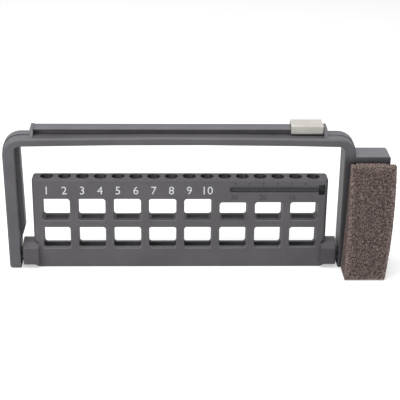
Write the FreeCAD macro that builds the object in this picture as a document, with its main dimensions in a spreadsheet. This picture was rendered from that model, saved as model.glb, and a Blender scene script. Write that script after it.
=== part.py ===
import FreeCAD, Part
import math
import os
import Sketcher

# Endodontic file organizer: a pierced block that stands on its base bar, a frame hinged at the
# block's two knuckles, a sponge in the frame's holder and a clip that slides on the frame's rail.
# Origin at the middle of the block's underside, X along the row of holes, Y to the back, Z up.
# All sizes are in millimetres.

DRIVING = {
    # file block
    "block_width": 105.5,
    "block_depth": 6.8,
    "base_bar": 7.5,
    "window_high": 8.3,
    "middle_bar": 2.7,
    "header": 7.5,
    "short_window_drop": 1.3,
    "window_web": 2.85,
    "window_corner": 1.0,
    "plate_corner": 2.0,
    "plate_edge": 1.2,
    "plate_rim": 0.6,
    # file holes, two above each window, and the slot below them for the files' shafts
    "hole_count": 16,
    "hole_pitch": 6.35,
    "hole_bore": 4.7,
    "hole_setback": 0.3,
    "slot_gap": 3.3,
    "slot_floor": 3.0,
    "short_windows": 3,
    # ruler groove with its stop notch
    "groove_drop": 3.9,
    "groove_radius": 0.9,
    "groove_long": 31.8,
    "notch_margin": 1.15,
    "notch_width": 2.2,
    "notch_high": 3.9,
    "notch_deep": 1.9,
    # hinge knuckles
    "knuckle_in": 1.6,
    "knuckle_out": 4.0,
    "knuckle_proud": 1.9,
    "knuckle_chin": 1.85,
    "knuckle_nose": 8.1,
    "knuckle_ledge": 9.2,
    "crease_set": 0.4,
    "knuckle_edge": 0.6,
    "toe_long": 2.2,
    "toe_high": 1.0,
    "pivot_high": 4.9,
    "stub_bore": 3.3,
    "stub_clearance": 0.05,
    "stub_long": 3.6,
    "stub_end_gap": 0.5,
    # swing frame
    "side_gap": 0.95,
    "leg_wide": 4.1,
    "frame_depth": 9.8,
    "left_lean": 0.7,
    "handle_room": 12.9,
    "bar_thick": 2.6,
    "bar_bow": 0.7,
    "rear_step": 0.4,
    "outer_corner": 6.0,
    "inner_corner": 2.0,
    "front_edge": 1.0,
    "foot_round": 1.2,
    "rib_thick": 1.5,
    "rib_start": 0.5,
    "rib_tip": 9.0,
    "rib_full": 14.0,
    "root_set": 0.5,
    # rail on the top bar
    "rail_left": 51.6,
    "rail_right": 50.5,
    "rail_front": -0.4,
    "rail_gap": 1.5,
    "rail_thick": 0.7,
    "web_front": 1.4,
    "web_rear": 3.6,
    "wall_thick": 1.15,
    "wall_rise": 0.25,
    "wall_foot": -3.4,
    "wall_brow": -0.9,
    "wall_round": 0.8,
    # foam holder on the right leg
    "holder_wide": 12.4,
    "holder_high": 43.5,
    "holder_wall": 1.6,
    "holder_lip": 2.1,
    "holder_edge": 0.8,
    # foam insert
    "foam_gap": 0.15,
    "foam_clear": 0.3,
    "foam_lift": 0.3,
    "foam_drop": 0.3,
    "foam_low_left": 58.65,
    "foam_low_right": 73.2,
    "foam_low_front": 15.3,
    "foam_mid_left": 59.5,
    "foam_mid_right": 75.5,
    "foam_mid_front": 11.6,
    "foam_top_left": 59.85,
    "foam_top_right": 76.0,
    "foam_top_front": 7.4,
    # marker clip
    "clip_long": 11.3,
    "clip_wall": 1.0,
    "clip_crown": 1.45,
    "clip_gap": 0.12,
    "clip_hook": 0.9,
    "clip_reach": 1.1,
    "clip_rear_reach": 0.9,
    "clip_stop": 0.3,
    "clip_edge": 0.6,
}

DERIVED = {
    "half_width": "block_width / 2",
    "plate_left": "-half_width",
    "half_depth": "block_depth / 2",
    "front_face": "-block_depth / 2",
    "lower_top": "base_bar + window_high",
    "upper_sill": "base_bar + window_high + middle_bar",
    "upper_top": "upper_sill + window_high",
    "short_top": "upper_top - short_window_drop",
    "block_top": "upper_top + header",
    "tall_depth": "block_top - upper_top",
    "short_depth": "block_top - short_top",
    "slot_depth": "upper_sill - slot_floor",
    "slot_front": "hole_setback - slot_gap / 2",
    "slot_back": "hole_setback + slot_gap / 2",
    "first_hole": "-hole_pitch * (hole_count - 1) / 2",
    "window_count": "hole_count / 2",
    "tall_windows": "window_count - short_windows",
    "window_pitch": "2 * hole_pitch",
    "window_wide": "window_pitch - window_web",
    "window_left": "first_hole + hole_pitch / 2 - window_wide / 2",
    "window_right": "window_left + window_wide",
    "short_left": "window_left + tall_windows * window_pitch",
    "short_right": "short_left + window_wide",
    "first_short_hole": "first_hole + 2 * tall_windows * hole_pitch",
    "window_run": "(window_count - 1) * window_pitch",
    "tall_run": "(tall_windows - 1) * window_pitch",
    "short_run": "(short_windows - 1) * window_pitch",
    "tall_hole_count": "2 * tall_windows",
    "short_hole_count": "2 * short_windows",
    "tall_hole_run": "(tall_hole_count - 1) * hole_pitch",
    "short_hole_run": "(short_hole_count - 1) * hole_pitch",
    "plate_bottom": "knuckle_ledge",
    "bar_half": "half_width - knuckle_in",
    "bar_left": "-bar_half",
    "groove_high": "block_top - groove_drop",
    "notch_end": "half_width - notch_margin",
    "notch_start": "notch_end - notch_width",
    "groove_start": "notch_start - groove_long",
    "groove_run": "half_width - groove_start",
    "notch_low": "groove_high - notch_high / 2",
    "notch_top": "groove_high + notch_high / 2",
    "knuckle_end": "half_width + knuckle_out",
    "knuckle_long": "knuckle_in + knuckle_out",
    "knuckle_front": "front_face - knuckle_proud",
    "knuckle_crease": "front_face + crease_set",
    "knuckle_rear": "-knuckle_crease",
    "barrel_rise": "knuckle_ledge - pivot_high",
    "barrel_radius": "sqrt(knuckle_rear * knuckle_rear + barrel_rise * barrel_rise)",
    "knuckle_sole": "front_face + knuckle_chin",
    "toe_end": "bar_half + toe_long",
    "toe_plane": "-front_face",
    "bore_deep": "stub_long - side_gap + stub_end_gap",
    "leg_inner": "knuckle_end + side_gap",
    "leg_outer": "leg_inner + leg_wide",
    "leg_step": "leg_outer + rear_step",
    "inner_left": "-leg_inner",
    "leg_outer_left": "-leg_outer",
    "leg_step_left": "-leg_step",
    "inner_left_top": "-leg_inner - left_lean",
    "leg_outer_left_top": "-leg_outer - left_lean",
    "leg_step_left_top": "-leg_step - left_lean",
    "frame_front": "-frame_depth / 2",
    "frame_back": "frame_depth / 2",
    "bar_under": "block_top + handle_room",
    "bar_top": "bar_under + bar_thick",
    "bar_rear_top": "bar_top + rear_step",
    "under_half": "leg_inner + left_lean / 2",
    "top_half": "leg_outer + left_lean / 2",
    "under_radius": "(under_half * under_half + bar_bow * bar_bow) / (2 * bar_bow)",
    "top_radius": "(top_half * top_half + bar_bow * bar_bow) / (2 * bar_bow)",
    "rear_corner": "outer_corner + rear_step",
    "rib_inner": "rib_thick - leg_inner",
    "rib_inner_top": "rib_inner - left_lean",
    "rib_root": "-leg_inner - root_set",
    "rib_root_top": "rib_root - left_lean",
    "rib_neck": "-leg_inner - left_lean * rib_tip / bar_under",
    "rib_head": "bar_under + bar_thick / 2",
    "rib_plane": "-rib_start",
    "rib_deep": "frame_back - rib_start",
    "stub_radius": "stub_bore / 2 - stub_clearance",
    "stub_root": "leg_inner + root_set",
    "stub_whole": "stub_long + root_set",
    "plate_under": "bar_rear_top + rail_gap",
    "rail_top": "plate_under + rail_thick",
    "rail_length": "rail_left + rail_right",
    "rail_left_end": "-rail_left",
    "web_low": "bar_top - root_set",
    "wall_top": "rail_top + wall_rise",
    "holder_right": "leg_outer + holder_wide",
    "holder_left": "leg_outer - root_set",
    "cavity_right": "holder_right - holder_wall",
    "cavity_top": "holder_high - holder_lip",
    "cavity_deep": "frame_depth - holder_wall",
    "plug_left": "leg_outer + foam_gap",
    "plug_wide": "cavity_right - leg_outer - 2 * foam_gap",
    "plug_low": "holder_wall + foam_gap",
    "plug_right": "plug_left + plug_wide",
    "plug_top": "cavity_top - foam_gap",
    "plug_back": "frame_back - holder_wall - foam_gap",
    "foam_back": "frame_front - foam_clear",
    "plug_plane": "root_set - foam_back",
    "plug_deep": "plug_back + plug_plane",
    "low_face": "-foam_low_front",
    "middle_face": "-foam_mid_front",
    "top_face": "-foam_top_front",
    "foam_top": "cavity_top - foam_drop",
    "foam_middle": "(foam_lift + foam_top) / 2",
    "clip_in_front": "rail_front - clip_gap",
    "clip_front": "clip_in_front - clip_wall",
    "clip_in_back": "frame_back + clip_gap",
    "clip_back": "clip_in_back + clip_wall",
    "clip_in_top": "rail_top + clip_gap",
    "clip_top": "clip_in_top + clip_crown",
    "clip_hook_top": "plate_under - clip_gap",
    "clip_low": "clip_hook_top - clip_hook",
    "clip_front_tip": "clip_in_front + clip_reach",
    "clip_back_tip": "clip_in_back - clip_rear_reach",
    "clip_start": "rail_right - clip_stop - clip_long",
}

doc = FreeCAD.newDocument("file_organizer")
sheet = doc.addObject("Spreadsheet::Sheet", "sizes")


def fill_sheet():
    rows = [(name, str(number)) for name, number in DRIVING.items()]
    rows += [(name, "=" + formula) for name, formula in DERIVED.items()]
    for row, (name, text) in enumerate(rows, start=1):
        sheet.set(f"A{row}", name)
        sheet.set(f"B{row}", text)
        sheet.setAlias(f"B{row}", name)
    doc.recompute()


def size(name):
    """The value of one cell, with 0 for no name."""
    if not name:
        return 0.0
    value = sheet.get(name)
    return float(getattr(value, "Value", value))


def bind(thing, **sizes):
    for prop, name in sizes.items():
        thing.setExpression(prop.replace("__", "."), f"sizes.{name}")


def plane(body, role):
    return next(p for p in body.Origin.OriginFeatures if p.Role == role)


def new_body(name):
    body = doc.addObject("PartDesign::Body", name)
    body.Label = name
    body.Placement = FreeCAD.Placement()
    return body


def new_sketch(body, name, role, offset=None):
    """A sketch on one of the body's own planes, moved along its normal by a named size."""
    sketch = body.newObject("Sketcher::SketchObject", name)
    sketch.AttachmentSupport = (plane(body, role), [""])
    sketch.MapMode = "FlatFace"
    if offset:
        sketch.AttachmentOffset = FreeCAD.Placement(
            FreeCAD.Vector(0, 0, size(offset)), FreeCAD.Rotation()
        )
        sketch.setExpression("AttachmentOffset.Base.z", f"sizes.{offset}")
    return sketch


def tie(sketch, number, end, across, up):
    """Holds one end of an edge at a named place measured from the sketch's origin."""
    for kind, axis, name in (("DistanceX", -2, across), ("DistanceY", -1, up)):
        if name is None:
            sketch.addConstraint(Sketcher.Constraint("PointOnObject", number, end, axis))
            continue
        index = sketch.addConstraint(
            Sketcher.Constraint(kind, -1, 1, number, end, size(name))
        )
        sketch.setExpression(f"Constraints[{index}]", f"sizes.{name}")


def outline(sketch, corners, bows=None):
    """A closed outline through named corners. bows maps an edge's number to its radius' name."""
    bows = bows or {}
    count = len(corners)
    points = [FreeCAD.Vector(size(a), size(b), 0) for a, b in corners]
    ends = []
    for i in range(count):
        start, stop = points[i], points[(i + 1) % count]
        if i in bows:
            radius = size(bows[i])
            half = (stop - start).Length / 2
            middle = (start + stop) / 2
            centre = middle - FreeCAD.Vector(0, math.sqrt(radius**2 - half**2), 0)
            reach = math.asin(half / radius)
            arc = Part.ArcOfCircle(
                Part.Circle(centre, FreeCAD.Vector(0, 0, 1), radius),
                math.pi / 2 - reach,
                math.pi / 2 + reach,
            )
            sketch.addGeometry(arc, False)
            ends.append((1, 2) if start.x > stop.x else (2, 1))
            continue
        sketch.addGeometry(Part.LineSegment(start, stop), False)
        ends.append((1, 2))
    for i in range(count):
        after = (i + 1) % count
        sketch.addConstraint(
            Sketcher.Constraint("Coincident", i, ends[i][1], after, ends[after][0])
        )
    for i, (across, up) in enumerate(corners):
        tie(sketch, i, ends[i][0], across, up)
    for i, name in bows.items():
        index = sketch.addConstraint(Sketcher.Constraint("Radius", i, size(name)))
        sketch.setExpression(f"Constraints[{index}]", f"sizes.{name}")


def box_outline(sketch, left, right, low, top):
    outline(sketch, [(left, low), (right, low), (right, top), (left, top)])


def round_window(sketch, left, right, low, top, corner):
    """A rectangle with round corners between four named lines."""
    x0, x1, z0, z1 = size(left), size(right), size(low), size(top)
    r = size(corner)
    sides = [
        ((x0 + r, z0), (x1 - r, z0)),
        ((x1, z0 + r), (x1, z1 - r)),
        ((x1 - r, z1), (x0 + r, z1)),
        ((x0, z1 - r), (x0, z0 + r)),
    ]
    for start, stop in sides:
        sketch.addGeometry(
            Part.LineSegment(FreeCAD.Vector(*start, 0), FreeCAD.Vector(*stop, 0)), False
        )
    centres = [(x1 - r, z0 + r), (x1 - r, z1 - r), (x0 + r, z1 - r), (x0 + r, z0 + r)]
    for i, centre in enumerate(centres):
        circle = Part.Circle(FreeCAD.Vector(*centre, 0), FreeCAD.Vector(0, 0, 1), r)
        first = math.radians(-90 + 90 * i)
        sketch.addGeometry(Part.ArcOfCircle(circle, first, first + math.pi / 2), False)
    for i in range(4):
        sketch.addConstraint(Sketcher.Constraint("Tangent", i, 2, 4 + i, 1))
        sketch.addConstraint(Sketcher.Constraint("Tangent", 4 + i, 2, (i + 1) % 4, 1))
    sketch.addConstraint(Sketcher.Constraint("Horizontal", 0))
    sketch.addConstraint(Sketcher.Constraint("Vertical", 1))
    for i in (5, 6, 7):
        sketch.addConstraint(Sketcher.Constraint("Equal", 4, i))
    held = [
        ("DistanceX", 3, left),
        ("DistanceX", 1, right),
        ("DistanceY", 0, low),
        ("DistanceY", 2, top),
    ]
    for kind, line, name in held:
        index = sketch.addConstraint(Sketcher.Constraint(kind, -1, 1, line, 1, size(name)))
        sketch.setExpression(f"Constraints[{index}]", f"sizes.{name}")
    index = sketch.addConstraint(Sketcher.Constraint("Radius", 4, r))
    sketch.setExpression(f"Constraints[{index}]", f"sizes.{corner}")


def disc(sketch, across, up, bore=None, radius=None):
    """A circle at a named place, by its bore or its radius."""
    r = size(radius) if radius else size(bore) / 2
    place = FreeCAD.Vector(size(across), size(up), 0)
    sketch.addGeometry(Part.Circle(place, FreeCAD.Vector(0, 0, 1), r), False)
    tie(sketch, 0, 3, across, up)
    kind, name, value = ("Radius", radius, r) if radius else ("Diameter", bore, 2 * r)
    index = sketch.addConstraint(Sketcher.Constraint(kind, 0, value))
    sketch.setExpression(f"Constraints[{index}]", f"sizes.{name}")


def pad(body, name, sketch, length, both=False, back=False):
    feature = body.newObject("PartDesign::Pad", name)
    feature.Profile = sketch
    feature.Length = size(length)
    bind(feature, Length=length)
    feature.Midplane = both
    feature.Reversed = back
    doc.recompute()
    return feature


def pocket(body, name, sketch, length=None, back=False):
    """A cut of a named depth, or right through both ways where no depth is given."""
    before = body.Shape.Volume
    feature = body.newObject("PartDesign::Pocket", name)
    feature.Profile = sketch
    if length:
        feature.Length = size(length)
        bind(feature, Length=length)
        feature.Reversed = back
    else:
        feature.Type = "ThroughAll"
        feature.Midplane = True
    doc.recompute()
    if body.Shape.Volume >= before:
        raise RuntimeError(f"{name} cuts nothing")
    return feature


def row_of(body, name, features, run, count):
    """The same features again along the row of holes."""
    if round(size(count)) < 2:
        return None
    feature = body.newObject("PartDesign::LinearPattern", name)
    feature.Originals = features
    feature.Direction = (plane(body, "X_Axis"), [""])
    feature.Length = size(run)
    feature.Occurrences = round(size(count))
    bind(feature, Length=run, Occurrences=count)
    body.Tip = feature
    doc.recompute()
    return feature


def fillet(body, name, radius, chosen):
    """Rounds the edges of the body's last feature that the test picks."""
    base = body.Tip
    edges = [
        f"Edge{i}" for i, edge in enumerate(base.Shape.Edges, start=1) if chosen(edge)
    ]
    if not edges:
        raise RuntimeError(f"{name} finds no edge")
    feature = body.newObject("PartDesign::Fillet", name)
    feature.Base = (base, edges)
    feature.Radius = size(radius)
    bind(feature, Radius=radius)
    doc.recompute()
    return feature


def along(edge, axis):
    """Is this a straight edge that runs along X, Y or Z?"""
    if not isinstance(edge.Curve, Part.Line):
        return False
    direction = edge.Curve.Direction
    return abs(abs(getattr(direction, axis)) - 1) < 1e-6


def at(value, *names):
    """Is a coordinate at one of these named places, on either side?"""
    return any(abs(abs(value) - abs(size(name))) < 1e-4 for name in names)


def middle(edge):
    return edge.CenterOfMass


def file_block():
    body = new_body("file_block")
    front = new_sketch(body, "plate_outline", "XZ_Plane")
    box_outline(front, "plate_left", "half_width", "plate_bottom", "block_top")
    pad(body, "plate", front, "block_depth", both=True)
    fillet(
        body,
        "plate_lower_corners",
        "plate_corner",
        lambda e: along(e, "y") and at(middle(e).z, "plate_bottom"),
    )
    fillet(
        body,
        "plate_ends",
        "plate_edge",
        lambda e: along(e, "z") and at(middle(e).x, "half_width"),
    )
    fillet(
        body,
        "plate_top_rim",
        "plate_rim",
        lambda e: at(e.BoundBox.ZMin, "block_top"),
    )
    bar = new_sketch(body, "base_outline", "XZ_Plane")
    box_outline(bar, "bar_left", "bar_half", None, "lower_top")
    pad(body, "base", bar, "block_depth", both=True)
    knuckles(body)
    windows(body)
    holes(body)
    slots(body)
    ruler(body)
    return body


def knuckles(body):
    side = new_sketch(body, "knuckle_outline", "YZ_Plane", "bar_half")
    outline(
        side,
        [
            ("knuckle_front", "knuckle_chin"),
            ("knuckle_sole", None),
            ("half_depth", None),
            ("half_depth", "knuckle_nose"),
            ("knuckle_rear", "knuckle_ledge"),
            ("knuckle_crease", "knuckle_ledge"),
            ("knuckle_front", "knuckle_nose"),
        ],
        {4: "barrel_radius"},
    )
    right = pad(body, "knuckle", side, "knuckle_long")
    mirror(body, "other_knuckle", [right])
    fillet(
        body,
        "knuckle_edges",
        "knuckle_edge",
        lambda e: at(e.BoundBox.XMin, "knuckle_end")
        and at(e.BoundBox.XMax, "knuckle_end")
        and e.BoundBox.ZMin < size("knuckle_ledge") - 1e-4,
    )
    toe = new_sketch(body, "toe_outline", "XZ_Plane", "toe_plane")
    outline(toe, [("bar_half", None), ("toe_end", "toe_high"), ("bar_half", "toe_high")])
    right = pad(body, "toe", toe, "knuckle_chin", back=True)
    mirror(body, "other_toe", [right])
    bore = new_sketch(body, "pivot_circle", "YZ_Plane", "knuckle_end")
    disc(bore, None, "pivot_high", bore="stub_bore")
    right = pocket(body, "pivot_bore", bore, "bore_deep")
    mirror(body, "other_pivot_bore", [right])


def windows(body):
    rows = [
        ("lower_windows", "window_left", "window_right", "base_bar", "lower_top"),
        ("upper_windows", "window_left", "window_right", "upper_sill", "upper_top"),
        ("short_windows_row", "short_left", "short_right", "upper_sill", "short_top"),
    ]
    runs = [
        ("window_run", "window_count"),
        ("tall_run", "tall_windows"),
        ("short_run", "short_windows"),
    ]
    for (name, left, right, low, top), (run, count) in zip(rows, runs):
        sketch = new_sketch(body, name + "_outline", "XZ_Plane")
        round_window(sketch, left, right, low, top, "window_corner")
        cut = pocket(body, name + "_first", sketch)
        row_of(body, name, [cut], run, count)


def holes(body):
    rows = [
        ("file_holes", "first_hole", "tall_depth", "tall_hole_run", "tall_hole_count"),
        ("ruler_holes", "first_short_hole", "short_depth", "short_hole_run", "short_hole_count"),
    ]
    for name, across, depth, run, count in rows:
        sketch = new_sketch(body, name + "_circle", "XY_Plane", "block_top")
        disc(sketch, across, "hole_setback", bore="hole_bore")
        cut = pocket(body, name + "_first", sketch, depth)
        row_of(body, name, [cut], run, count)


def slots(body):
    """One slot for each pair of holes, through the middle bar and blind in the base bar."""
    sketch = new_sketch(body, "slot_outline", "XY_Plane", "upper_sill")
    box_outline(sketch, "window_left", "window_right", "slot_front", "slot_back")
    cut = pocket(body, "slots_first", sketch, "slot_depth")
    row_of(body, "slots", [cut], "window_run", "window_count")


def ruler(body):
    groove = new_sketch(body, "groove_circle", "YZ_Plane", "groove_start")
    disc(groove, "front_face", "groove_high", radius="groove_radius")
    pocket(body, "ruler_groove", groove, "groove_run", back=True)
    notch = new_sketch(body, "notch_outline", "XZ_Plane", "half_depth")
    box_outline(notch, "notch_start", "notch_end", "notch_low", "notch_top")
    pocket(body, "stop_notch", notch, "notch_deep")


def mirror(body, name, features):
    feature = body.newObject("PartDesign::Mirrored", name)
    feature.Originals = features
    feature.MirrorPlane = (plane(body, "YZ_Plane"), [""])
    body.Tip = feature
    doc.recompute()
    return feature


def leg_ring(body, name, outer, top, corner, back):
    """Half the depth of the frame: two legs and the bar between them, open below."""
    sketch = new_sketch(body, name + "_outline", "XZ_Plane")
    corners = [
        (outer + "_left", None),
        ("inner_left", None),
        ("inner_left_top", "bar_under"),
        ("leg_inner", "bar_under"),
        ("leg_inner", None),
        (outer, None),
        (outer, top),
        (outer + "_left_top", top),
    ]
    bows = {2: "under_radius"} if back else {2: "under_radius", 6: "top_radius"}
    outline(sketch, corners, bows)
    pad(body, name, sketch, "frame_back", back=back)
    side = 1 if back else -1
    fillet(
        body,
        name + "_outer_corners",
        corner,
        lambda e: along(e, "y")
        and at(middle(e).x, outer, outer + "_left_top")
        and at(middle(e).z, top)
        and side * middle(e).y > 0,
    )
    fillet(
        body,
        name + "_feet",
        "foot_round",
        lambda e: along(e, "x")
        and abs(middle(e).z) < 1e-4
        and at(middle(e).y, "frame_back")
        and side * middle(e).y > 0,
    )


def rim(body, name, outer, top, corner, side):
    """Rounds the outer outline's edge on the front or the back of the frame."""
    fillet(
        body,
        name,
        "front_edge",
        lambda e: at(e.BoundBox.YMin, "frame_back")
        and at(e.BoundBox.YMax, "frame_back")
        and side * middle(e).y > 0
        and on_outer_rim(e, outer, top, corner),
    )


def on_outer_rim(edge, outer, top, corner):
    """Is this edge part of the frame's outer outline?"""
    if isinstance(edge.Curve, Part.Circle):
        return any(
            abs(edge.Curve.Radius - size(name)) < 1e-4 for name in (corner, "top_radius")
        )
    leaning = middle(edge).x < -size(outer) + 1e-4
    return leaning or at(middle(edge).x, outer) or at(middle(edge).z, top)


def swing_frame():
    body = new_body("swing_frame")
    leg_ring(body, "front_half", "leg_outer", "bar_top", "outer_corner", False)
    leg_ring(body, "rear_half", "leg_step", "bar_rear_top", "rear_corner", True)
    fillet(
        body,
        "inner_corners",
        "inner_corner",
        lambda e: along(e, "y")
        and at(middle(e).x, "leg_inner", "inner_left_top")
        and at(middle(e).z, "bar_under"),
    )
    holder(body)
    rim(body, "front_rim", "leg_outer", "bar_top", "outer_corner", -1)
    rim(body, "rear_rim", "leg_step", "bar_rear_top", "rear_corner", 1)
    rib = new_sketch(body, "rib_outline", "XZ_Plane", "rib_plane")
    outline(
        rib,
        [
            ("rib_root", "rib_tip"),
            ("rib_neck", "rib_tip"),
            ("rib_inner", "rib_full"),
            ("rib_inner_top", "rib_head"),
            ("rib_root_top", "rib_head"),
        ],
    )
    pad(body, "leg_rib", rib, "rib_deep", back=True)
    stub = new_sketch(body, "stub_circle", "YZ_Plane", "stub_root")
    disc(stub, None, "pivot_high", radius="stub_radius")
    right = pad(body, "pivot_stub", stub, "stub_whole", back=True)
    mirror(body, "other_pivot_stub", [right])
    rail(body)
    return body


def rail(body):
    tee = new_sketch(body, "rail_outline", "YZ_Plane", "rail_right")
    outline(
        tee,
        [
            ("web_front", "web_low"),
            ("web_rear", "web_low"),
            ("web_rear", "plate_under"),
            ("frame_back", "plate_under"),
            ("frame_back", "rail_top"),
            ("rail_front", "rail_top"),
            ("rail_front", "plate_under"),
            ("web_front", "plate_under"),
        ],
    )
    pad(body, "rail", tee, "rail_length", back=True)
    for name, end, back in (("right", "rail_right", False), ("left", "rail_left_end", True)):
        wall = new_sketch(body, name + "_wall_outline", "YZ_Plane", end)
        outline(
            wall,
            [
                ("wall_foot", "web_low"),
                ("frame_back", "web_low"),
                ("frame_back", "wall_top"),
                ("wall_brow", "wall_top"),
            ],
        )
        pad(body, name + "_rail_wall", wall, "wall_thick", back=back)
    fillet(
        body,
        "rail_wall_brows",
        "wall_round",
        lambda e: along(e, "x")
        and at(middle(e).z, "wall_top")
        and at(middle(e).y, "wall_brow"),
    )


def holder(body):
    shell = new_sketch(body, "holder_outline", "XZ_Plane")
    box_outline(shell, "holder_left", "holder_right", None, "holder_high")
    pad(body, "holder", shell, "frame_depth", both=True)
    fillet(
        body,
        "holder_edges",
        "holder_edge",
        lambda e: at(e.BoundBox.XMin, "holder_right")
        and at(e.BoundBox.XMax, "holder_right"),
    )
    cavity = new_sketch(body, "cavity_outline", "XZ_Plane", "frame_back")
    box_outline(cavity, "leg_outer", "cavity_right", "holder_wall", "cavity_top")
    pocket(body, "cavity", cavity, "cavity_deep")


def foam_insert():
    body = new_body("foam_insert")
    levels = [
        ("foam_lift", "foam_low_left", "foam_low_right", "low_face"),
        ("foam_middle", "foam_mid_left", "foam_mid_right", "middle_face"),
        ("foam_top", "foam_top_left", "foam_top_right", "top_face"),
    ]
    sections = []
    for level, left, right, face in levels:
        sketch = new_sketch(body, level + "_section", "XY_Plane", level)
        box_outline(sketch, left, right, face, "foam_back")
        sections.append(sketch)
    slab = body.newObject("PartDesign::AdditiveLoft", "slab")
    slab.Profile = sections[0]
    slab.Sections = sections[1:]
    doc.recompute()
    plug = new_sketch(body, "plug_outline", "XZ_Plane", "plug_plane")
    box_outline(plug, "plug_left", "plug_right", "plug_low", "plug_top")
    pad(body, "plug", plug, "plug_deep", back=True)
    return body


def marker_clip():
    body = new_body("marker_clip")
    channel = new_sketch(body, "clip_outline", "YZ_Plane", "clip_start")
    outline(
        channel,
        [
            ("clip_front", "clip_low"),
            ("clip_front_tip", "clip_low"),
            ("clip_front_tip", "clip_hook_top"),
            ("clip_in_front", "clip_hook_top"),
            ("clip_in_front", "clip_in_top"),
            ("clip_in_back", "clip_in_top"),
            ("clip_in_back", "clip_hook_top"),
            ("clip_back_tip", "clip_hook_top"),
            ("clip_back_tip", "clip_low"),
            ("clip_back", "clip_low"),
            ("clip_back", "clip_top"),
            ("clip_front", "clip_top"),
        ],
    )
    pad(body, "channel", channel, "clip_long")
    fillet(
        body,
        "clip_edges",
        "clip_edge",
        lambda e: along(e, "x")
        and (at(middle(e).z, "clip_top") or at(middle(e).y, "clip_front", "clip_back")),
    )
    return body


def write_parts(bodies):
    doc.recompute()
    for thing in doc.Objects:
        if "Invalid" in thing.State or "Error" in thing.State:
            raise RuntimeError(f"{thing.Name} failed: {thing.State}")
    os.makedirs("parts", exist_ok=True)
    for body in bodies:
        shape = body.Shape
        if shape.isNull() or not shape.isValid() or len(shape.Solids) != 1:
            raise RuntimeError(f"{body.Label} is not one sound solid")
        shape.exportStep(f"parts/{body.Label}.step")
        print(f"{body.Label}: {shape.Volume / 1000:.2f} cm3")


fill_sheet()
write_parts([file_block(), swing_frame(), foam_insert(), marker_clip()])
travel = size("rail_length") - size("clip_long") - 2 * size("clip_stop")
print(f"clip travel {travel:.2f} mm, block top {size('block_top'):.2f} mm")
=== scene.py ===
import bmesh
import bpy
import math
from mathutils import Matrix, Vector


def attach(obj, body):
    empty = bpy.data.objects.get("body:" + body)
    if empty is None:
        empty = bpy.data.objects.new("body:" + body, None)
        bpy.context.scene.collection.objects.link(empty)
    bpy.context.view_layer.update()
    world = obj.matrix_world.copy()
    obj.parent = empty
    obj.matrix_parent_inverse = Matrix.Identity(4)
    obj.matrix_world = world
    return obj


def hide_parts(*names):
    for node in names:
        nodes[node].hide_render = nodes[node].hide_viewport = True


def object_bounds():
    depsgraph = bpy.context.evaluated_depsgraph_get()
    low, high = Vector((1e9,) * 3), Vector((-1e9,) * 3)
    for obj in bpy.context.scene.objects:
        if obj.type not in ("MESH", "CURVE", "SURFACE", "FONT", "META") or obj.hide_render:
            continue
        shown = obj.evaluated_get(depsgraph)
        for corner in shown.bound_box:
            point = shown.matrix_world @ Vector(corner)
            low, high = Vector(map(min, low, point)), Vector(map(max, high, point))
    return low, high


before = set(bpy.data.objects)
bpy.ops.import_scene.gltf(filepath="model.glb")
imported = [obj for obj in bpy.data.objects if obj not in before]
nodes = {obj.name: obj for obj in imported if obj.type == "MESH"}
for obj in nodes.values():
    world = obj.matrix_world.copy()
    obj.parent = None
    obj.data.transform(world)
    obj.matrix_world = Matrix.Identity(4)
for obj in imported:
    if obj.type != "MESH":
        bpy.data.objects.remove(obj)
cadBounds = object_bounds()
mm = 0.001
print("frame loaded, nodes:", ", ".join(sorted(nodes)))


# mesh helpers

meshLimits = {
    "mergeReach": 0.0005 * mm,
    "mergeAngle": 0.5,  # degrees between triangles that are one face
    "flatAngle": 0.3,  # degrees between faces that are one flat
}


def addPiece(name, data):
    piece = bpy.data.objects.new(name, data)
    bpy.context.scene.collection.objects.link(piece)
    return piece


def evaluatedMesh(piece):
    graph = bpy.context.evaluated_depsgraph_get()
    return bpy.data.meshes.new_from_object(piece.evaluated_get(graph), depsgraph=graph)


def bakeModifiers(piece):
    # the evaluated object becomes the plain mesh, and its modifiers go
    mesh = evaluatedMesh(piece)
    piece.modifiers.clear()
    piece.data = mesh
    return piece


def copyNode(nodeName, name):
    # a CAD node is loose triangles, so the copy is merged before anything else
    mesh = nodes[nodeName].data.copy()
    mesh.materials.clear()
    shape = bmesh.new()
    shape.from_mesh(mesh)
    bmesh.ops.remove_doubles(shape, verts=shape.verts, dist=meshLimits["mergeReach"])
    bmesh.ops.dissolve_limit(
        shape, angle_limit=math.radians(meshLimits["mergeAngle"]), verts=shape.verts,
        edges=shape.edges)
    shape.to_mesh(mesh)
    shape.free()
    return addPiece(name, mesh)


def finishPiece(piece, body, slot, material, *replaced):
    piece.data.materials.clear()
    piece.data.materials.append(material)
    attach(piece, body)
    if replaced:
        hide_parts(*replaced)
    return piece


# material and node helpers

def newMaterial(name):
    material = bpy.data.materials.new(name)
    material.use_nodes = True
    tree = material.node_tree
    return material, tree, tree.nodes["Principled BSDF"]


def addNode(tree, kind, inputs=None, **settings):
    node = tree.nodes.new(kind)
    for key, value in settings.items():
        setattr(node, key, value)
    for key, value in (inputs or {}).items():
        if isinstance(value, bpy.types.NodeSocket):
            tree.links.new(value, node.inputs[key])
        else:
            node.inputs[key].default_value = value
    return node


def fromSrgb(colour):
    linear = [((c / 255 + 0.055) / 1.055) ** 2.4 for c in colour]
    return (*linear, 1)


def calculated(tree, operation, first, second):
    return addNode(tree, "ShaderNodeMath", {0: first, 1: second},
                   operation=operation).outputs["Value"]


def mapped(tree, value, given, wanted, **settings):
    # the given range of a value, turned into the wanted one and held at its ends
    return addNode(tree, "ShaderNodeMapRange", {
        "Value": value, "From Min": given[0], "From Max": given[1],
        "To Min": wanted[0], "To Max": wanted[1]}, **settings).outputs["Result"]


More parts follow.
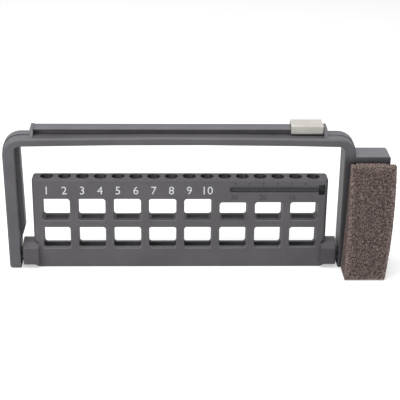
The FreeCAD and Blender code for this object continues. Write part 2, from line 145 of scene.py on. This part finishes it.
def scaled(tree, vector, factor):
    return addNode(tree, "ShaderNodeVectorMath", {0: vector, "Scale": factor},
                   operation="SCALE").outputs["Vector"]


def noise(tree, place, size, detail, fineness=0.5):
    return addNode(tree, "ShaderNodeTexNoise", {
        "Vector": place, "Scale": 1 / size, "Detail": detail,
        "Roughness": fineness}).outputs["Fac"]


def colourRamp(tree, factor, stops):
    # a ramp through (place, colour) stops, the first and the last given first
    ramp = addNode(tree, "ShaderNodeValToRGB", {"Fac": factor})
    elements = ramp.color_ramp.elements
    for i, (place, colour) in enumerate(stops):
        if i < 2:
            elements[i].position = place
            elements[i].color = fromSrgb(colour)
        else:
            elements.new(place).color = fromSrgb(colour)
    return ramp.outputs["Color"]


def shadedTone(tree, place, tone, shade):
    # a soft contact shade, which deepens along each axis from the span's start to its end
    axes = addNode(tree, "ShaderNodeSeparateXYZ", {"Vector": place})
    depth = 1 - shade["deepest"]
    for axis, span in shade["axes"].items():
        ramp = mapped(tree, axes.outputs[axis], span, (0.0, 1.0), interpolation_type="SMOOTHSTEP")
        depth = calculated(tree, "MULTIPLY", ramp, depth)
    return calculated(tree, "MULTIPLY", tone, calculated(tree, "SUBTRACT", 1.0, depth))


def mouldedPlastic(name, look):
    material, tree, shader = newMaterial(name)
    place = addNode(tree, "ShaderNodeTexCoord").outputs["Object"]
    # slow drift of colour, as in a filled plastic
    drift = noise(tree, place, look["driftSize"], 3)
    tone = colourRamp(tree, drift, (
        (look["driftRange"][0], look["deep"]), (look["driftRange"][1], look["pale"])))
    # spark-eroded mould grain
    grain = noise(tree, place, look["grainSize"], 2, look["grainFineness"])
    bump = addNode(tree, "ShaderNodeBump", {
        "Height": grain, "Strength": look["grainStrength"], "Distance": look["grainDepth"]})
    rough, swing = look["roughness"], look["roughnessSwing"]
    gloss = mapped(tree, grain, look["grainRange"], (rough - swing, rough + swing))
    # the tone attribute holds painted highlights and painted shade, which scale the colour
    marked = addNode(tree, "ShaderNodeAttribute", attribute_name="tone").outputs["Fac"]
    if "contactShade" in look:
        marked = shadedTone(tree, place, marked, look["contactShade"])
    tree.links.new(scaled(tree, tone, marked), shader.inputs["Base Color"])
    tree.links.new(gloss, shader.inputs["Roughness"])
    tree.links.new(bump.outputs["Normal"], shader.inputs["Normal"])
    shader.inputs["Specular IOR Level"].default_value = look["shine"]
    return material


# block: the pierced plate that holds the files

blockLook = {
    "firstHole": -47.625 * mm,
    "holePitch": 6.35 * mm,
    "holeCount": 16,
    "holeReach": 2.5 * mm,
    "holeMiddle": 1.1 * mm,
    "holeDepths": (-2.4 * mm, 3 * mm),
    "holeLevels": (25.6 * mm, 33.95 * mm),
    # painted shade on the hole walls, with a paler middle as painted light
    "holeTones": {"side": 0.4, "middle": 1.1},
    "firstWindow": -44.45 * mm,
    "windowCount": 8,
    "windowReach": 5 * mm,
    "sillDepths": (-3.05 * mm, 3.05 * mm),
    "slotDepths": (-1.4 * mm, 2 * mm),
    # painted shade in the slots below the windows and on the upper sills
    "lowerSlot": {"levels": (2.9 * mm, 7.2 * mm), "tone": 0.45},
    "upperSlot": {"levels": (15.7 * mm, 18.4 * mm), "tone": 0.95},
    "upperSill": {"levels": (18.4 * mm, 18.85 * mm), "tone": 0.32},
    "grooveSpan": (17 * mm, 52.8 * mm),
    "grooveDepths": (-3.38 * mm, -2.4 * mm),
    # painted shade in the ruler's groove: darker top and bottom walls, a paler floor
    "grooveShades": ((29.4 * mm, 30.05 * mm, 0.3), (30.05 * mm, 30.75 * mm, 0.62),
                     (30.75 * mm, 31.4 * mm, 0.3)),
    # painted shade in the notch
    "notchShade": ((49.3 * mm, -3.3 * mm, 28.4 * mm), (51.7 * mm, -1.4 * mm, 32.4 * mm), 0.35),
    "knuckleSpan": (52.5 * mm, 57.5 * mm),
    "knuckleDepths": (-5.5 * mm, -4.6 * mm),
    "knuckleLevels": (0.5 * mm, 9 * mm),
    # painted shade on the knuckles' fronts
    "knuckleShade": 0.75,
    # painted highlight: the rounded edges are paler, as if they caught the light
    "rimHighlight": 1.5,
    "edgeRadius": 0.26 * mm,
    "edgeAngle": 35,
    "edgeSteps": 2,
    "blendAngle": 50,
    "plastic": {
        "deep": (84, 81, 85),
        "pale": (91, 88, 92),
        "driftSize": 9 * mm,
        "driftRange": (0.35, 0.65),
        "grainSize": 0.22 * mm,
        "grainFineness": 0.6,
        "grainRange": (0.3, 0.7),
        "grainDepth": 0.03 * mm,
        "grainStrength": 0.35,
        "roughness": 0.52,
        "roughnessSwing": 0.05,
        "shine": 0.5,
    },
}


def spanBox(across, depths, levels, tone):
    # a box that has its own tone: two opposite corners, then the tone
    return ((across[0], depths[0], levels[0]), (across[1], depths[1], levels[1]), tone)


def plateShades(look):
    boxes = []
    # painted shade in the holes: the middle of a hole's wall is paler, as painted light, than its
    # sides
    reach, middle, tones = look["holeReach"], look["holeMiddle"], look["holeTones"]
    parts = ((-reach, -middle, "side"), (-middle, middle, "middle"), (middle, reach, "side"))
    for i in range(look["holeCount"]):
        x = look["firstHole"] + i * look["holePitch"]
        for left, right, part in parts:
            boxes.append(spanBox((x + left, x + right), look["holeDepths"], look["holeLevels"],
                                 tones[part]))
    # painted shade in the slots and on the upper sills below the windows, two holes to a window
    for i in range(look["windowCount"]):
        x = look["firstWindow"] + 2 * i * look["holePitch"]
        across = (x - look["windowReach"], x + look["windowReach"])
        for name, depths in (("lowerSlot", "slotDepths"), ("upperSlot", "slotDepths"),
                             ("upperSill", "sillDepths")):
            boxes.append(spanBox(across, look[depths], look[name]["levels"], look[name]["tone"]))
    # painted shade in the ruler's groove
    for low, high, tone in look["grooveShades"]:
        boxes.append(spanBox(look["grooveSpan"], look["grooveDepths"], (low, high), tone))
    # painted shade in the notch
    boxes.append(look["notchShade"])
    # painted shade on the knuckles' fronts
    near, far = look["knuckleSpan"]
    for across in ((-far, -near), (near, far)):
        boxes.append(spanBox(across, look["knuckleDepths"], look["knuckleLevels"],
                             look["knuckleShade"]))
    return boxes


def flatAreas(mesh, slack):
    # the area, in square millimetres, of the whole flat that each face belongs to
    shape = bmesh.new()
    shape.from_mesh(mesh)
    shape.faces.ensure_lookup_table()
    areas = [0.0] * len(shape.faces)
    # a face without a normal of its own joins no flat
    apart = math.tau
    done = set()
    for first in shape.faces:
        if first.index in done:
            continue
        done.add(first.index)
        flat = [first]
        for face in flat:
            for edge in face.edges:
                for other in edge.link_faces:
                    if other.index not in done and face.normal.angle(other.normal, apart) < slack:
                        done.add(other.index)
                        flat.append(other)
        total = sum(face.calc_area() for face in flat) / mm ** 2
        for face in flat:
            areas[face.index] = total
    shape.free()
    return areas


def evenNormals(piece, spread):
    # large flats keep their own direction and the small faces round them blend into it
    mesh = piece.data
    areas = flatAreas(mesh, math.radians(meshLimits["flatAngle"]))
    limit = math.cos(math.radians(spread))
    around = [[] for vertex in mesh.vertices]
    for face in mesh.polygons:
        for index in face.vertices:
            around[index].append((face.normal.copy(), areas[face.index] ** 2))
    normals = []
    for face in mesh.polygons:
        for index in face.vertices:
            total = Vector()
            for normal, weight in around[index]:
                if normal.dot(face.normal) >= limit:
                    total += normal * weight
            normals.append(total.normalized())
    mesh.normals_split_custom_set(normals)


def markTone(piece, look, shades):
    # the rounded edges are paler as a painted highlight, and a face inside one of the shades'
    # boxes takes its tone, a painted shade or light
    mesh = piece.data
    tones = []
    for face in mesh.polygons:
        tone = look["rimHighlight"] if face.material_index else 1.0
        for low, high, shade in shades:
            if all(low[i] < face.center[i] < high[i] for i in range(3)):
                tone *= shade
        tones.append(tone)
        face.material_index = 0
    layer = mesh.attributes.new("tone", "FLOAT", "FACE")
    layer.data.foreach_set("value", tones)


def sharpChains(shape, limit):
    # outer edges sharper than the limit, in groups that touch and in the mesh's own order
    sharp = [edge for edge in shape.edges
             if edge.is_manifold and edge.calc_face_angle_signed() > limit]
    free = set(sharp)
    chains = []
    for first in sharp:
        if first not in free:
            continue
        free.discard(first)
        chain = [first]
        for edge in chain:
            for vertex in edge.verts:
                for other in vertex.link_edges:
                    if other in free:
                        free.discard(other)
                        chain.append(other)
        chains.append(chain)
    return chains


def softenEdges(piece, look, shades=()):
    # each chain is rounded by itself, so one tight spot doesn't hold back the others
    mesh = piece.data
    for slot in range(2):
        mesh.materials.append(None)
    shape = bmesh.new()
    shape.from_mesh(mesh)
    for chain in sharpChains(shape, math.radians(look["edgeAngle"])):
        edges = [edge for edge in chain if edge.is_valid]
        # the rounded edges take the second slot, which tells them from the flats
        bmesh.ops.bevel(
            shape, geom=edges, offset=look["edgeRadius"], offset_type="OFFSET",
            segments=look["edgeSteps"], profile=0.5, affect="EDGES", clamp_overlap=True,
            material=1, miter_outer="ARC")
    shape.to_mesh(mesh)
    shape.free()
    mesh.shade_smooth()
    evenNormals(piece, look["blendAngle"])
    markTone(piece, look, shades)
    return piece


greyPlastic = mouldedPlastic("greyPlastic", blockLook["plastic"])
block = softenEdges(copyNode("file_block", "filePlate"), blockLook, plateShades(blockLook))
finishPiece(block, "block", "block_plastic", greyPlastic, "file_block")
print("block:", len(block.data.polygons), "faces")


# ruler: millimetre ticks and 5 mm dots over the groove, and its figures below

rulerLook = {
    "face": -3.4 * mm,
    "proud": 0.02 * mm,
    "sunk": 0.1 * mm,
    "zero": 49.6 * mm,
    "tick": {"pitch": 1 * mm, "count": 31, "wide": 0.3 * mm, "low": 31.35 * mm,
             "high": 32.1 * mm},
    "dot": {"pitch": 5 * mm, "count": 6, "radius": 0.32 * mm, "level": 32.75 * mm,
            "sides": 12},
    "figures": {"30": 19.3 * mm, "20": 29.5 * mm, "10": 39.9 * mm},
    "figureLevel": 27.35 * mm,
    "figureSize": 2.7 * mm,
    "figureSteps": 3,
    "ink": (50, 47, 51),
    "figureInk": (54, 51, 55),
    "inkGrain": 0.5 * mm,
    "inkRange": (0.3, 0.55),
    "inkDark": 0.9,
    "inkRoughness": 0.6,
}


def printedInk(name, colour, roughness):
    # ink that is a little darker here and there
    material, tree, shader = newMaterial(name)
    place = addNode(tree, "ShaderNodeTexCoord").outputs["Object"]
    cover = noise(tree, place, rulerLook["inkGrain"], 2)
    darker = [c * rulerLook["inkDark"] for c in colour]
    tone = colourRamp(tree, cover, (
        (rulerLook["inkRange"][0], darker), (rulerLook["inkRange"][1], colour)))
    tree.links.new(tone, shader.inputs["Base Color"])
    shader.inputs["Roughness"].default_value = roughness
    return material


def treeInput(tree, name, kind, value=None):
    socket = tree.interface.new_socket(name=name, in_out="INPUT", socket_type=kind)
    if value is not None:
        socket.default_value = value
    return socket.identifier


def markRow():
    # a row of equal marks towards -X, the first of them a pitch away from the zero
    tree = bpy.data.node_groups.new("markRow", "GeometryNodeTree")
    treeInput(tree, "Geometry", "NodeSocketGeometry")
    inputs = {
        "count": treeInput(tree, "count", "NodeSocketInt", 2),
        "pitch": treeInput(tree, "pitch", "NodeSocketFloat", 0.001),
        "zero": treeInput(tree, "zero", "NodeSocketFloat", 0.0),
    }
    tree.interface.new_socket(name="Geometry", in_out="OUTPUT", socket_type="NodeSocketGeometry")
    given = addNode(tree, "NodeGroupInput")
    first = calculated(tree, "SUBTRACT", given.outputs["zero"], given.outputs["pitch"])
    back = calculated(tree, "MULTIPLY", given.outputs["pitch"], -1.0)
    start = addNode(tree, "ShaderNodeCombineXYZ", {"X": first})
    step = addNode(tree, "ShaderNodeCombineXYZ", {"X": back})
    row = addNode(tree, "GeometryNodeMeshLine", {
        "Count": given.outputs["count"], "Start Location": start.outputs["Vector"],
        "Offset": step.outputs["Vector"]})
    marks = addNode(tree, "GeometryNodeInstanceOnPoints", {
        "Points": row.outputs["Mesh"], "Instance": given.outputs["Geometry"]})
    real = addNode(tree, "GeometryNodeRealizeInstances", {"Geometry": marks.outputs["Instances"]})
    addNode(tree, "NodeGroupOutput", {"Geometry": real.outputs["Geometry"]})
    return tree, inputs


def solidMark(name, outline, look):
    # a thin closed prism: its front stands a hair proud of the plate
    shape = bmesh.new()
    front = [shape.verts.new((x, look["face"] - look["proud"], z)) for x, z in outline]
    back = [shape.verts.new((x, look["face"] + look["sunk"], z)) for x, z in outline]
    shape.faces.new(front)
    shape.faces.new(back[::-1])
    count = len(outline)
    for i in range(count):
        shape.faces.new((front[i], back[i], back[(i + 1) % count], front[(i + 1) % count]))
    bmesh.ops.recalc_face_normals(shape, faces=shape.faces)
    mesh = bpy.data.meshes.new(name)
    shape.to_mesh(mesh)
    shape.free()
    return addPiece(name, mesh)


def addMarks(name, outline, row, look):
    marks = solidMark(name, outline, look)
    tree, inputs = markRow()
    nodesModifier = marks.modifiers.new("row", "NODES")
    nodesModifier.node_group = tree
    nodesModifier[inputs["count"]] = row["count"]
    nodesModifier[inputs["pitch"]] = row["pitch"]
    nodesModifier[inputs["zero"]] = look["zero"]
    return bakeModifiers(marks)


def addFigures(name, figures, level, size, look):
    # plain upright figures, each centred on its place along X
    shape = bmesh.new()
    for body, across in figures.items():
        curve = bpy.data.curves.new(name, "FONT")
        curve.body = body
        curve.size = size
        curve.align_x = "CENTER"
        curve.align_y = "CENTER"
        curve.extrude = (look["proud"] + look["sunk"]) / 2
        curve.resolution_u = look["figureSteps"]
        letters = addPiece(name, curve)
        mesh = evaluatedMesh(letters)
        depth = look["face"] + (look["sunk"] - look["proud"]) / 2
        mesh.transform(Matrix.Translation((across, depth, level))
                       @ Matrix.Rotation(math.radians(90), 4, "X"))
        shape.from_mesh(mesh)
        bpy.data.objects.remove(letters)
        bpy.data.meshes.remove(mesh)
    bmesh.ops.remove_doubles(shape, verts=shape.verts, dist=meshLimits["mergeReach"])
    mesh = bpy.data.meshes.new(name)
    shape.to_mesh(mesh)
    shape.free()
    return addPiece(name, mesh)


darkInk = printedInk("rulerInk", rulerLook["ink"], rulerLook["inkRoughness"])
figureInk = printedInk("figureInk", rulerLook["figureInk"], rulerLook["inkRoughness"])
tick = rulerLook["tick"]
half = tick["wide"] / 2
tickOutline = [(-half, tick["low"]), (half, tick["low"]), (half, tick["high"]),
               (-half, tick["high"])]
ticks = addMarks("rulerTicks", tickOutline, tick, rulerLook)
dot = rulerLook["dot"]
turns = [math.radians(360 / dot["sides"] * i) for i in range(dot["sides"])]
dotOutline = [(dot["radius"] * math.cos(turn), dot["level"] + dot["radius"] * math.sin(turn))
              for turn in turns]
dots = addMarks("rulerDots", dotOutline, dot, rulerLook)
figures = addFigures("rulerFigures", rulerLook["figures"], rulerLook["figureLevel"],
                     rulerLook["figureSize"], rulerLook)
for marks, ink in ((ticks, darkInk), (dots, darkInk), (figures, figureInk)):
    finishPiece(marks, "block", "block_plastic", ink)
print("ruler:", sum(len(marks.data.polygons) for marks in (ticks, dots, figures)), "faces")


# white figures below the first ten holes

figureLook = {
    "count": 10,
    "level": 30.0 * mm,
    "size": 4.3 * mm,
    "ink": (224, 224, 226),
    "roughness": 0.55,
}

whiteInk = printedInk("whiteInk", figureLook["ink"], figureLook["roughness"])
holeNumbers = {
    str(i + 1): blockLook["firstHole"] + i * blockLook["holePitch"]
    for i in range(figureLook["count"])}
numbers = addFigures("holeNumbers", holeNumbers, figureLook["level"], figureLook["size"],
                     rulerLook)
finishPiece(numbers, "block", "block_plastic", whiteInk)
print("hole numbers:", len(numbers.data.polygons), "faces")


# swing frame

frameLook = {
    # painted highlight on the rounded edges
    "rimHighlight": 1.25,
    # painted shade on the lip's front above the foam, painted light on the lip's top and on the
    # rail's web
    "lipFrontShade": ((60 * mm, -5.2 * mm, 41.2 * mm), (75 * mm, -4.85 * mm, 43.4 * mm), 0.25),
    "lipTopLight": ((60 * mm, -4.8 * mm, 43.4 * mm), (75 * mm, 5.2 * mm, 43.6 * mm), 1.4),
    "railWebLight": ((-52 * mm, 1.2 * mm, 50.5 * mm), (52 * mm, 1.5 * mm, 51.5 * mm), 2.0),
    "edgeRadius": 0.25 * mm,
    "edgeAngle": 35,
    "edgeSteps": 2,
    "blendAngle": 50,
    "plastic": dict(
        blockLook["plastic"], deep=(83, 81, 86), pale=(90, 88, 93), roughness=0.44,
        # painted shade on the front of the right leg, beside the foam
        contactShade={"deepest": 0.3, "axes": {
            "X": (57.2 * mm, 58.6 * mm), "Y": (-4 * mm, -4.7 * mm), "Z": (46 * mm, 41 * mm)}}),
}

framePlastic = mouldedPlastic("framePlastic", frameLook["plastic"])
# boxes of painted shade and painted light on the frame
frameShades = [frameLook[name] for name in ("lipFrontShade", "lipTopLight", "railWebLight")]
swingFrame = softenEdges(copyNode("swing_frame", "swingHandle"), frameLook, frameShades)
finishPiece(swingFrame, "frame", "frame_plastic", framePlastic, "swing_frame")
print("swing frame:", len(swingFrame.data.polygons), "faces")


# marker clip on the rail

clipLook = {
    # painted highlight on the rounded edges
    "rimHighlight": 1.06,
    "edgeRadius": 0.2 * mm,
    "edgeAngle": 35,
    "edgeSteps": 2,
    "blendAngle": 50,
    "plastic": dict(
        blockLook["plastic"], deep=(186, 181, 175), pale=(198, 194, 188), driftSize=4 * mm,
        grainSize=0.25 * mm, grainStrength=0.3, roughness=0.5, shine=0.4),
}

clipPlastic = mouldedPlastic("clipPlastic", clipLook["plastic"])
markerClip = softenEdges(copyNode("marker_clip", "railMarker"), clipLook)
finishPiece(markerClip, "clip", "clip_plastic", clipPlastic, "marker_clip")
print("marker clip:", len(markerClip.data.polygons), "faces")


# foam insert: an open-cell sponge

foamLook = {
    "meshSize": 0.2 * mm,
    "smoothing": 5,
    "cellSize": 0.52 * mm,
    "cellDepth": 0.2 * mm,
    "pocketSize": 1.9 * mm,
    "pocketDepth": 0.12 * mm,
    "seed": 3.7,
    "poreRange": (0.12, 0.62),
    "pocketRange": (0.1, 0.45),
    # how deep in a cell each colour lies, from 0 to 1, and the colour
    # darker deeper in the cell, as painted shade in the pores
    "strut": (0.05, (108, 95, 91)),
    "wall": (0.3, (84, 72, 69)),
    "pore": (0.85, (48, 39, 38)),
    "wallRange": (0.3, 0.7),
    "wallTones": (0.62, 1.3),
    "wallFineness": 0.7,
    "wallDepth": 0.1 * mm,
    "wallStrength": 0.6,
    "speck": (168, 153, 148),
    "speckSize": 0.5 * mm,
    "speckRange": (0.64, 0.72),
    "speckCover": 0.8,
    "edgeAngle": 40,
    # painted highlight near the foam's edges
    "edgeHighlight": 1.75,
    "edgeReach": 2 * mm,
    "roughness": 0.9,
    "shine": 0.2,
}


def foamMaterial(look):
    material, tree, shader = newMaterial("greyFoam")
    place = addNode(tree, "ShaderNodeTexCoord").outputs["Object"]
    pore = addNode(tree, "ShaderNodeAttribute", attribute_name="poreDepth")
    # the colour darkens towards the heart of each cell: painted shade in the pores
    tone = colourRamp(tree, pore.outputs["Fac"], (look["strut"], look["pore"], look["wall"]))
    # cell walls vary from one to the next
    speckle = noise(tree, place, look["cellSize"], 3, look["wallFineness"])
    shade = mapped(tree, speckle, look["wallRange"], look["wallTones"])
    # painted highlight: the foam is paler near its edges
    rim = addNode(tree, "ShaderNodeAttribute", attribute_name="edgeNear")
    paler = mapped(tree, rim.outputs["Fac"], (0.0, 1.0), (1.0, look["edgeHighlight"]))
    mixed = scaled(tree, tone, calculated(tree, "MULTIPLY", shade, paler))
    # cut strut ends catch the light as small pale specks
    ends = noise(tree, place, look["speckSize"], 1)
    bright = mapped(tree, ends, look["speckRange"], (0.0, look["speckCover"]))
    flecked = addNode(tree, "ShaderNodeMix", {
        "Factor": bright, "A": mixed, "B": fromSrgb(look["speck"])}, data_type="RGBA")
    bump = addNode(tree, "ShaderNodeBump", {
        "Height": speckle, "Strength": look["wallStrength"], "Distance": look["wallDepth"]})
    tree.links.new(flecked.outputs[2], shader.inputs["Base Color"])
    tree.links.new(bump.outputs["Normal"], shader.inputs["Normal"])
    shader.inputs["Roughness"].default_value = look["roughness"]
    shader.inputs["Specular IOR Level"].default_value = look["shine"]
    return material


def foamCells(look):
    # open cells: the surface sinks at the heart of each cell and stays up at the walls
    tree = bpy.data.node_groups.new("foamCells", "GeometryNodeTree")
    treeInput(tree, "Geometry", "NodeSocketGeometry")
    inputs = {
        name: treeInput(tree, name, "NodeSocketFloat", value)
        for name, value in (("cellSize", 0.001), ("cellDepth", 0.0001),
                            ("pocketSize", 0.002), ("pocketDepth", 0.0001),
                            ("edgeReach", 0.001), ("seed", 0.0))}
    inputs["edges"] = treeInput(tree, "edges", "NodeSocketObject")
    tree.interface.new_socket(name="Geometry", in_out="OUTPUT", socket_type="NodeSocketGeometry")
    given = addNode(tree, "NodeGroupInput")
    where = addNode(tree, "GeometryNodeInputPosition")
    shift = addNode(tree, "ShaderNodeVectorMath", {
        0: where.outputs["Position"], 1: given.outputs["seed"]}, operation="ADD")

    def sinking(sizeName, reach):
        scale = calculated(tree, "DIVIDE", 1.0, given.outputs[sizeName])
        cells = addNode(tree, "ShaderNodeTexVoronoi", {
            "Vector": shift.outputs["Vector"], "Scale": scale})
        return mapped(tree, cells.outputs["Distance"], reach[::-1], (0.0, 1.0),
                      interpolation_type="SMOOTHSTEP")

    pores = sinking("cellSize", look["poreRange"])
    pockets = sinking("pocketSize", look["pocketRange"])
    poreDrop = calculated(tree, "MULTIPLY", pores, given.outputs["cellDepth"])
    pocketDrop = calculated(tree, "MULTIPLY", pockets, given.outputs["pocketDepth"])
    inward = calculated(tree, "MULTIPLY", calculated(tree, "ADD", poreDrop, pocketDrop), -1.0)
    facing = addNode(tree, "GeometryNodeInputNormal")
    offset = scaled(tree, facing.outputs["Normal"], inward)
    marked = addNode(tree, "GeometryNodeStoreNamedAttribute", {
        "Geometry": given.outputs["Geometry"], "Name": "poreDepth", "Value": pores},
        data_type="FLOAT", domain="POINT")
    # 1 on the solid's own edges, falling to 0 over the reach
    edges = addNode(tree, "GeometryNodeObjectInfo", {"Object": given.outputs["edges"]})
    away = addNode(tree, "GeometryNodeProximity", {0: edges.outputs["Geometry"]},
                   target_element="EDGES")
    near = mapped(tree, away.outputs["Distance"], (0.0, given.outputs["edgeReach"]), (1.0, 0.0))
    rimmed = addNode(tree, "GeometryNodeStoreNamedAttribute", {
        "Geometry": marked.outputs["Geometry"], "Name": "edgeNear", "Value": near},
        data_type="FLOAT", domain="POINT")
    moved = addNode(tree, "GeometryNodeSetPosition", {
        "Geometry": rimmed.outputs["Geometry"], "Offset": offset})
    addNode(tree, "NodeGroupOutput", {"Geometry": moved.outputs["Geometry"]})
    return tree, inputs


def sharpOutline(nodeName, limit):
    # a node's sharp edges alone
    outline = copyNode(nodeName, "outline")
    shape = bmesh.new()
    shape.from_mesh(outline.data)
    blunt = [edge for edge in shape.edges if edge.calc_face_angle(0) < limit]
    bmesh.ops.delete(shape, geom=shape.faces[:], context="FACES_ONLY")
    bmesh.ops.delete(shape, geom=blunt, context="EDGES")
    shape.to_mesh(outline.data)
    shape.free()
    return outline


def makeFoam(look):
    outline = sharpOutline("foam_insert", math.radians(look["edgeAngle"]))
    foam = copyNode("foam_insert", "spongeInsert")
    voxels = foam.modifiers.new("even mesh", "REMESH")
    voxels.mode = "VOXEL"
    voxels.voxel_size = look["meshSize"]
    soft = foam.modifiers.new("soft corners", "SMOOTH")
    soft.iterations = look["smoothing"]
    cells = foam.modifiers.new("cells", "NODES")
    tree, inputs = foamCells(look)
    cells.node_group = tree
    for name, identifier in inputs.items():
        cells[identifier] = outline if name == "edges" else look[name]
    bakeModifiers(foam)
    bpy.data.objects.remove(outline)
    foam.data.shade_smooth()
    return foam


greyFoam = foamMaterial(foamLook)
foam = makeFoam(foamLook)
finishPiece(foam, "frame", "foam", greyFoam, "foam_insert")
print("foam:", len(foam.data.polygons), "faces")


# camera, floor and light

viewLook = {
    "cameraPlace": Vector((-5.0, -385.3, 191.7)) * mm,
    "pitch": 23.38,  # degrees below level
    "yaw": 1.80,
    "roll": 0.71,
    "focalPixels": 1165,
    "framePixels": 400,
    "sensor": 36,
    "clipNear": 10 * mm,
    "clipFar": 20000 * mm,
    "floorSize": 4000 * mm,
    "floorColour": (232, 232, 232),
    "floorRoughness": 0.9,
    "floorGlow": 0.45,
    "ambient": 0.28,
    "lampTarget": Vector((0, 0, 20)) * mm,
    "lamps": {
        "softbox": {"size": 600 * mm, "place": Vector((-60, -110, 540)) * mm, "power": 3.2},
        "fill": {"size": 240 * mm, "place": Vector((-280, -260, 200)) * mm, "power": 0.55},
    },
}


def addCamera(look):
    pitch, yaw, roll = (math.radians(look[name]) for name in ("pitch", "yaw", "roll"))
    forward = Vector((math.sin(yaw) * math.cos(pitch), math.cos(yaw) * math.cos(pitch),
                      -math.sin(pitch)))
    level = Vector((math.cos(yaw), -math.sin(yaw), 0))
    up = level.cross(forward)
    right = math.cos(roll) * level + math.sin(roll) * up
    top = -math.sin(roll) * level + math.cos(roll) * up
    camera = addPiece("camera", bpy.data.cameras.new("camera"))
    camera.matrix_world = Matrix.Translation(look["cameraPlace"]) @ Matrix(
        (right, top, -forward)).transposed().to_4x4()
    camera.data.sensor_width = look["sensor"]
    camera.data.lens = look["focalPixels"] * look["sensor"] / look["framePixels"]
    camera.data.clip_start = look["clipNear"]
    camera.data.clip_end = look["clipFar"]
    bpy.context.scene.camera = camera


def addFloor(look):
    material, tree, shader = newMaterial("whiteFloor")
    shader.inputs["Base Color"].default_value = fromSrgb(look["floorColour"])
    shader.inputs["Roughness"].default_value = look["floorRoughness"]
    shader.inputs["Specular IOR Level"].default_value = 0.0
    shader.inputs["Emission Color"].default_value = (1, 1, 1, 1)
    # only the camera sees the glow, so the object isn't lit by it
    path = addNode(tree, "ShaderNodeLightPath")
    glow = calculated(tree, "MULTIPLY", path.outputs["Is Camera Ray"], look["floorGlow"])
    tree.links.new(glow, shader.inputs["Emission Strength"])
    half = look["floorSize"] / 2
    level = cadBounds[0][2]
    mesh = bpy.data.meshes.new("floor")
    corners = [(-half, -half, level), (half, -half, level), (half, half, level),
               (-half, half, level)]
    mesh.from_pydata(corners, [], [(0, 1, 2, 3)])
    mesh.materials.append(material)
    floor = addPiece("floor", mesh)


def addWorld(look):
    world = bpy.data.worlds.new("studio")
    world.use_nodes = True
    bpy.context.scene.world = world
    tree = world.node_tree
    sky = tree.nodes["Background"]
    sky.inputs["Color"].default_value = (1, 1, 1, 1)
    # white to the camera and in reflections, dimmer as a light
    path = addNode(tree, "ShaderNodeLightPath")
    seen = calculated(
        tree, "MAXIMUM", path.outputs["Is Camera Ray"], path.outputs["Is Glossy Ray"])
    white = calculated(tree, "MAXIMUM", seen, path.outputs["Is Transmission Ray"])
    strength = mapped(tree, white, (0.0, 1.0), (look["ambient"], 1.0))
    tree.links.new(strength, sky.inputs["Strength"])


def addSoftLight(name, look, target):
    lamp = bpy.data.lights.new(name, "AREA")
    lamp.shape = "SQUARE"
    lamp.size = look["size"]
    lamp.energy = look["power"]
    light = addPiece(name, lamp)
    light.location = look["place"]
    light.rotation_euler = (target - look["place"]).to_track_quat("-Z", "Y").to_euler()


addCamera(viewLook)
addFloor(viewLook)
addWorld(viewLook)
for name, lampLook in viewLook["lamps"].items():
    addSoftLight(name, lampLook, viewLook["lampTarget"])
bpy.context.scene.view_settings.view_transform = "Standard"
print("camera, floor and light are set")
